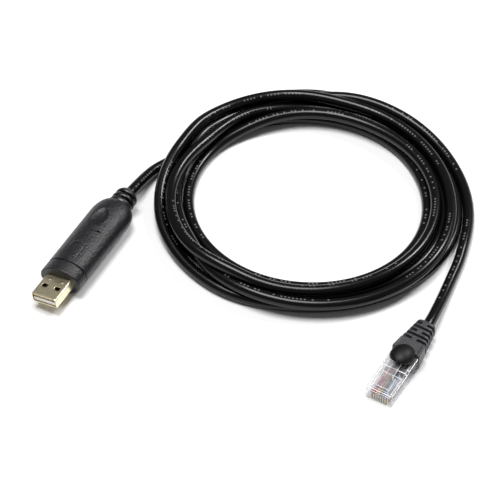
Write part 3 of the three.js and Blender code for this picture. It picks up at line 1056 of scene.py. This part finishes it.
@dataclass
class UsbEnd:
    """The USB-A plug, its overmould and its strain relief."""

    seat: Seat
    shell_width: float = 12.0
    shell_height: float = 4.5
    shell_wall: float = 0.3
    shell_reach: float = 12.0
    shell_root: float = 6.0
    shell_corner: float = 0.6
    lip_length: float = 0.7
    lip_draw: float = 0.035
    window_side: float = 2.95
    window_back: float = 6.0
    window_half_width: float = 1.2
    window_half_length: float = 1.0
    dimple_place: float = 2.2
    dimple_radius: float = 0.5
    dimple_rise: float = 0.14
    body_width: float = 18.8
    body_height: float = 13.4
    body_length: float = 47.0
    shoulder: float = 8.5
    shoulder_power: float = 2.1
    front_edge: float = 0.6
    seam_place: float = 6.0
    seam_half: float = 0.34
    seam_depth: float = 0.6
    panel_half: float = 3.3
    panel_spring: float = 15.2
    panel_rise: float = 2.8
    panel_line: float = 0.2
    panel_depth: float = 0.22
    dish_place: float = 33.6
    dish_half_length: float = 5.5
    dish_half_width: float = 3.25
    dish_depth: float = 0.95
    pip_place: float = 26.0
    pip_side: float = 4.0
    pip_depth: float = 0.9
    neck_width: float = 11.3
    neck_height: float = 9.6
    relief_gap: float = 0.3
    relief_length: float = 8.7
    relief_end: float = 9.5
    relief_nose: float = 1.9
    relief_core: float = 3.3
    ring_pitch: float = 2.7
    first_slot: float = 2.45

    def build(self) -> None:
        """Makes and dresses the pieces of this end."""
        gold = Plating("gold_plate", (0.97, 0.86, 0.60), 0.3).make()
        black = Moulding("overmould", (0.004, 0.004, 0.006), 0.38, 0.5, 0.8, 0.28).make()
        relief = Moulding("relief", (0.006, 0.0065, 0.006), 0.34, 0.5, 0.4, 0.01).make()
        pale = Insulator(self.seat, self.shell_reach).make()
        dress(self.shell(), gold, ["usb_shell"])
        dress(frame["nodes"]["usb_tongue"], pale)
        for index in range(1, 5):
            dress(frame["nodes"][f"usb_contact_{index}"], gold)
        dress(self.body(), black, ["usb_body"])
        dress(self.relief(), relief, ["usb_strain_relief"])

    def shell_section(self) -> Array:
        """One turn of the shell's rounded rectangle, with columns on the
        windows' edges.

        Returns:
            Its y and z, from the upper left corner on.
        """
        half, tall = self.shell_width / 2, self.shell_height / 2
        corner = self.shell_corner
        right = np.array([
            0.0, 0.6, 1.2, 1.75, 2.15, 2.55, 2.95, 3.35, 3.75, 4.15, 4.8, half - corner
        ])
        top = np.concatenate([-right[:0:-1], right])
        arc = np.radians(np.array([67.5, 45.0, 22.5]))
        bend_y = half - corner + corner * np.cos(arc)
        bend_z = tall - corner + corner * np.sin(arc)
        side_z = np.linspace(tall - corner, -(tall - corner), 6)
        upper = np.stack([top, np.full_like(top, tall)], axis=1)
        right_side = np.concatenate([
            np.stack([bend_y, bend_z], axis=1),
            np.stack([np.full(6, half), side_z], axis=1),
            np.stack([bend_y[::-1], -bend_z[::-1]], axis=1),
        ])
        return np.concatenate([upper, right_side, -upper, -right_side])

    def shell(self) -> bpy.types.Object:
        """The folded shell: a rounded rectangle carried along x, drawn in at
        the lip, with four windows left out and two small dimples behind.

        Returns:
            The piece.
        """
        section = self.shell_section()
        mouth = -self.shell_reach
        x = stations(
            (mouth, -11.2, 0.2), (-11.2, -7.0, 0.6), (-7.0, -5.0, 0.5),
            (-5.0, -3.4, 0.4), (-3.4, -1.0, 0.12), (-1.0, self.shell_root - 0.1, 1.0),
        )
        draw = 1 - self.lip_draw * (1 - smooth(x, mouth, mouth + self.lip_length))
        y = section[None, :, 0] * draw[:, None]
        z = section[None, :, 1] * draw[:, None]
        sideways = np.abs(section[None, :, 0]) - self.window_side
        across = np.hypot(x[:, None] + self.dimple_place, sideways)
        bump = np.exp(-(across / self.dimple_radius) ** 2) * (np.abs(z) > 2.1)
        z = z + self.dimple_rise * np.sign(z) * bump
        points = np.stack([np.broadcast_to(x[:, None], y.shape), y, z], axis=2)
        next_section = np.roll(section, -1, axis=0)
        middle = (section + next_section) / 2
        middle_x = np.append((x[:-1] + x[1:]) / 2, x[-1])
        in_x = np.abs(middle_x - mouth - self.window_back) < self.window_half_length
        from_middle = np.abs(np.abs(middle[:, 0]) - self.window_side)
        in_y = (from_middle < self.window_half_width) & (np.abs(middle[:, 1]) > 2.0)
        sheet = Sheet(
            self.seat.put(points), cap_start=False, cap_end=False,
            keep=~(in_x[:, None] & in_y[None, :]), crease=30.0,
        )
        made = sheet.build("usb_plug_shell")
        thicken(made, self.shell_wall)
        bevel(made, 0.07)
        return made

    def body(self) -> bpy.types.Object:
        """The overmould: an ellipse (a cos t, b sin t) carried along x, whose
        half axes close over a rounded shoulder, less the depth of its seam
        ring, panel line, thumb dish and pip along the surface's normal.

        Returns:
            The piece.
        """
        half, tall = self.body_width / 2, self.body_height / 2
        neck, neck_tall = self.neck_width / 2, self.neck_height / 2
        end = self.body_length - self.shoulder
        x = stations(
            (0.0, 0.8, 0.08), (0.8, 5.4, 0.6), (5.4, 6.6, 0.075), (6.6, 25.0, 0.24),
            (25.0, 27.0, 0.1), (27.0, 40.0, 0.22), (40.0, self.body_length, 0.3),
        )
        fine = np.radians(np.concatenate([
            np.arange(0, 40, 5), np.arange(40, 112, 1.2), np.arange(112, 119, 0.6),
            np.arange(119, 141, 1.2), np.arange(141, 360, 5),
        ]))
        front = np.clip(1 - x / self.front_edge, 0, 1)
        rounding = self.front_edge * (1 - np.sqrt(1 - front ** 2))
        turn = np.clip((x - end) / self.shoulder, 0, 1)
        close = (1 - turn ** self.shoulder_power) ** (1 / self.shoulder_power)
        wide = neck + (half - neck) * close - rounding
        high = neck_tall + (tall - neck_tall) * close - rounding
        angle = fine[None, :]
        y = wide[:, None] * np.cos(angle)
        z = high[:, None] * np.sin(angle)
        along = np.broadcast_to(x[:, None], y.shape)
        top = smooth(np.sin(angle), 0.1, 0.4)
        from_seam = (along - self.seam_place) / self.seam_half
        depth = self.seam_depth * np.exp(-from_seam ** 4)
        past_spring = (along - self.panel_spring) / self.panel_rise
        arch = np.where(
            along < self.panel_spring,
            np.abs(y) - self.panel_half,
            3.0 * (np.hypot(y / self.panel_half, past_spring) - 1),
        )
        line = self.panel_depth * np.exp(-(arch / self.panel_line) ** 2)
        depth += line * top * smooth(along, 8.0, 9.5)
        dish = np.hypot(
            (along - self.dish_place) / self.dish_half_length, y / self.dish_half_width
        )
        depth += self.dish_depth * np.clip(1 - dish ** 2.4, 0, None) ** 0.8 * top
        pip = np.hypot(along - self.pip_place, y + self.pip_side)
        depth += self.pip_depth * (1 - smooth(pip, 0.42, 0.66)) * top
        normal_y = np.cos(angle) / wide[:, None]
        normal_z = np.sin(angle) / high[:, None]
        size = np.hypot(normal_y, normal_z)
        y = y - depth * normal_y / size
        z = z - depth * normal_z / size
        points = np.stack([along, y, z], axis=2)
        return Sheet(self.seat.put(points), crease=50.0).build("usb_overmould")

    def relief(self) -> bpy.types.Object:
        """The strain relief: an ellipse carried along x that tapers, with
        rounded rings parted by two slots, each crossed by two bridges.

        Returns:
            The piece.
        """
        start = self.body_length + self.relief_gap
        end = start + self.relief_length
        x = stations((start, end - 1.6, 0.09), (end - 1.6, end, 0.12))
        angle = np.radians(np.arange(0, 360, 3.0))[None, :]
        share = (x - start) / self.relief_length
        reach = self.neck_width / 2 + (self.relief_end - self.neck_width) / 2 * share
        flat = self.neck_height / self.neck_width * (1 - share) + share
        nose = np.clip((x - (end - self.relief_nose)) / self.relief_nose, 0, 1)
        reach = reach - self.relief_nose * (1 - np.sqrt(1 - 0.96 * nose ** 2))
        pitch, first = self.ring_pitch, start + self.first_slot
        swell = 0.16 * np.cos((x - first) / pitch * 2 * math.pi)
        reach = reach - 0.1 - swell * (1 - nose)
        y = reach[:, None] * np.cos(angle)
        z = (reach * flat)[:, None] * np.sin(angle)
        size = np.hypot(y, z)
        cut = np.zeros_like(y)
        for index in range(2):
            near = 1 - smooth(np.abs(x - first - index * pitch), 0.36, 0.58)
            bridge = np.abs(y) if index == 0 else np.abs(z)
            cut = np.maximum(cut, near[:, None] * smooth(bridge, 0.8, 1.15))
        slim = 1 + cut * (self.relief_core / size - 1)
        along = np.broadcast_to(x[:, None], y.shape)
        points = np.stack([along, y * slim, z * slim], axis=2)
        return Sheet(self.seat.put(points), crease=50.0).build("usb_relief")


@dataclass
class PlugEnd:
    """The modular plug, its wires and contacts, and its boot."""

    seat: Seat
    wire_pitch: float = 1.02
    wire_level: float = 3.4
    bunch_pitch: float = 1.06
    jacket_level: float = 3.5
    jacket_setback: float = 14.2
    fan_end: float = 9.5
    wire_radius: float = 0.4
    boot_start: float = 21.76
    boot_length: float = 18.4
    boot_knee: float = 5.8
    boot_halves: tuple[float, float, float] = (6.2, 5.6, 4.1)
    boot_bases: tuple[float, float, float] = (0.5, 1.3, 1.9)
    boot_tops: tuple[float, float, float] = (9.6, 9.4, 9.1)
    boot_powers: tuple[float, float, float, float] = (11.0, 9.0, 5.0, 3.4)
    boot_front_edge: float = 0.35
    boot_tail_edge: float = 1.1
    cable_level: float = 5.5
    slot_start: float = 6.95
    slot_pitch: float = 2.25
    slot_core: float = 2.6
    hood_half: float = 5.2
    hood_spring: float = 8.3
    hood_rise: float = 3.7
    hood_front: float = 16.4
    hood_visor: float = 2.6
    hood_dome: float = 5.9
    hood_back: float = 2.6
    hood_cut: float = 0.93
    hood_front_width: float = 0.6
    hood_front_height: float = 0.3
    hood_foot: float = 7.15
    hood_wall: float = 0.6

    def build(self) -> None:
        """Makes and dresses the pieces of this end."""
        rubber = Moulding("boot", (0.036, 0.036, 0.041), 0.42, 0.5, 0.8, 0.2).make()
        blade = Plating("contact_plate", (0.85, 0.66, 0.42), 0.3).make()
        housing = dress(
            self.housing(), ClearMoulding().make(),
            ["rj45_housing"],
        )
        # White, nearly opaque finish for the rounded edges: a painted highlight where the
        # clear plastic catches the light.
        edges = ClearMoulding("clear_edge_highlight", (1.0, 1.0, 1.0), 1.3, 0.15)
        housing.data.materials.append(edges.make())
        for index, colour in enumerate(WireColour):
            called = f"wire_{colour.name.lower()}"
            finish = Moulding(called, colour.value, 0.4, 0.4, 0.4, 0.004).make()
            name = f"rj45_wire_{index + 1}"
            dress(self.wire(index), finish, [name])
            dress(frame["nodes"][f"rj45_contact_{index + 1}"], blade)
        dress(self.boot(), rubber, ["rj45_boot"])
        hood = Moulding("hood", (0.0025, 0.0025, 0.003), 0.48, 0.26, 0.8, 0.06).make()
        dress(self.hood(), hood)

    def housing(self) -> bpy.types.Object:
        """The clear housing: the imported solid's own faces, joined and flat,
        with every edge rounded as a mould leaves it.

        Returns:
            The piece.
        """
        made = frame["nodes"]["rj45_housing"].copy()
        made.data = made.data.copy()
        made.name = made.data.name = "clear_plug"
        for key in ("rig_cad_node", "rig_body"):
            del made[key]
        made.parent = None
        bpy.context.scene.collection.objects.link(made)
        weld = made.modifiers.new("join", "WELD")
        weld.merge_threshold = 1e-6
        flat = made.modifiers.new("flat", "DECIMATE")
        flat.decimate_type = "DISSOLVE"
        flat.angle_limit = math.radians(1.0)
        bevel(made, 0.14, 2)
        # The rounding takes the white edge finish: a painted highlight along every edge.
        made.modifiers["edges"].material = 1
        made.modifiers["edges"].use_clamp_overlap = False
        return made

    def wire(self, index: int) -> bpy.types.Object:
        """One wire, from the bunch at the jacket's end to the flat row.

        Args:
            index: 0 for the wire at the right contact, up to 7.

        Returns:
            The piece.
        """
        bunch = (index // 2 - 1.5) * self.bunch_pitch
        lift = (0.5 if index % 2 else -0.5) * self.bunch_pitch
        row = (index - 3.5) * self.wire_pitch
        start, level = self.jacket_setback, self.jacket_level
        run = start - self.fan_end
        marks = np.array([
            (start, bunch, level + lift),
            (start - run * 0.35, bunch + (row - bunch) * 0.82, level + lift * 0.7),
            (start - run * 0.62, row, self.wire_level),
            (self.fan_end, row, self.wire_level),
            (self.fan_end - 3.0, row, self.wire_level),
            (1.0, row, self.wire_level),
        ])
        line = self.seat.put(curve_through(marks, 0.35))
        rings = tube(line, self.wire_radius, 14)
        return Sheet(rings).build(f"insulated_wire_{index + 1}")

    def boot(self) -> bpy.types.Object:
        """The boot: a rounded rectangle |y/a|^n + |z/b|^n = 1 carried along x,
        whose corners soften towards the cable, with slots cut in to the bore
        and both ends drawn in to the cable.

        Returns:
            The piece.
        """
        start, end = self.boot_start, self.boot_start + self.boot_length
        first = start + self.slot_start
        x = stations(
            (start, start + 0.6, 0.1), (start + 0.6, first - 1.0, 0.5),
            (first - 1.0, end - 1.2, 0.09), (end - 1.2, end, 0.1),
        )
        knee = start + self.boot_knee
        half = np.interp(x, [start, knee, end], self.boot_halves)
        base = np.interp(x, [start, knee, end], self.boot_bases)
        top = np.interp(x, [start, knee, end], self.boot_tops)
        power = np.interp(x, [start, knee, knee + 3.0, end], self.boot_powers)
        front_edge, tail_edge = self.boot_front_edge, self.boot_tail_edge
        edge = np.clip(1 - (x - start) / front_edge, 0, 1)
        tail = np.clip((x - (end - tail_edge)) / tail_edge, 0, 1)
        inset = front_edge * (1 - np.sqrt(1 - edge ** 2))
        inset = inset + tail_edge * (1 - np.sqrt(1 - tail ** 2))
        angle = np.linspace(0, 2 * math.pi, 240, endpoint=False)[None, :]
        cosine, sine = np.cos(angle), np.sin(angle)
        n = power[:, None]
        size = (np.abs(cosine) ** n + np.abs(sine) ** n) ** (-1 / n)
        y = (half - inset)[:, None] * cosine * size
        z_off = ((top - base) / 2 - inset)[:, None] * sine * size
        levels = (4.6, 5.0, self.cable_level)
        centre = np.interp(x, [start, start + 6, end], levels)[:, None]
        z = (top + base)[:, None] / 2 + z_off
        cut = np.zeros_like(y)
        for index in range(5):
            near = 1 - smooth(np.abs(x - first - index * self.slot_pitch), 0.4, 0.6)
            if index % 2 == 0:
                open_part = smooth(np.abs(y), 1.1, 1.45)
            else:
                open_part = smooth(z, 3.7, 4.2)
            cut = np.maximum(cut, near[:, None] * open_part)
        reach = np.hypot(y, z - centre)
        corner = np.abs(np.abs(y) - half[:, None] + 0.95)
        front = 1 - smooth(x, first - 0.9, first - 0.4)
        seam = 0.5 * np.exp(-(corner / 0.26) ** 2) * (z > centre + 1.5) * front[:, None]
        slim = 1 + cut * (self.slot_core / reach - 1) - seam / reach
        points = np.stack([
            np.broadcast_to(x[:, None], y.shape), y * slim, centre + (z - centre) * slim
        ], axis=2)
        lip = points[-1:].copy()
        lip_reach = np.hypot(lip[..., 1], lip[..., 2] - self.cable_level)
        for target, at in ((2.75, end), (2.5, end - 0.6)):
            ring = lip.copy()
            ring[..., 0] = at
            ring[..., 1] *= target / lip_reach
            above = ring[..., 2] - self.cable_level
            ring[..., 2] = self.cable_level + above * target / lip_reach
            points = np.concatenate([points, ring])
        return Sheet(self.seat.put(points), crease=40.0).build("plug_boot")

    def hood(self) -> bpy.types.Object:
        """The hood over the latch: an egg lying along x, cut off at its front
        so that its crown reaches further forward than its cheeks, with
        upright cheeks below its widest line.

        Returns:
            The piece.
        """
        across = np.radians(np.linspace(-90.0, 90.0, 73))[None, :]
        share = np.linspace(-self.hood_cut, 1.0, 64)[:, None]
        swell = np.sqrt(np.clip(1 - share ** 2, 0, None))
        crown = np.cos(across)
        middle = self.hood_front + self.hood_back
        front = self.hood_front - self.hood_visor * crown - middle
        ahead = share * -front / self.hood_cut
        x = middle + np.where(share < 0, ahead, share * self.hood_dome)
        narrow, low = self.hood_front_width, self.hood_front_height
        wide = np.where(share < 0, narrow + (1 - narrow) * swell, swell)
        high = np.where(share < 0, low + (1 - low) * swell, swell)
        y = self.hood_half * np.sin(across) * wide
        z = self.hood_spring + self.hood_rise * crown * high
        x, y, z = np.broadcast_arrays(x, y, z)
        points = np.stack([x, y, z], axis=2)
        skirt = points[:, [0, -1]].copy()
        skirt[..., 2] = self.hood_foot
        points = np.concatenate([skirt[:, :1], points, skirt[:, 1:]], axis=1)
        sheet = Sheet(
            self.seat.put(points), ring=False, cap_start=False, cap_end=False, crease=60.0
        )
        made = sheet.build("plug_hood")
        thicken(made, self.hood_wall)
        return made


def main() -> None:
    """Builds the scene in order: camera, cable, then the two connectors."""
    logging.basicConfig(level=logging.INFO, format="%(message)s")
    Studio().build()
    Cable().build()
    UsbEnd(USB_SEAT).build()
    PlugEnd(PLUG_SEAT).build()


if __name__ == "__main__":
    main()
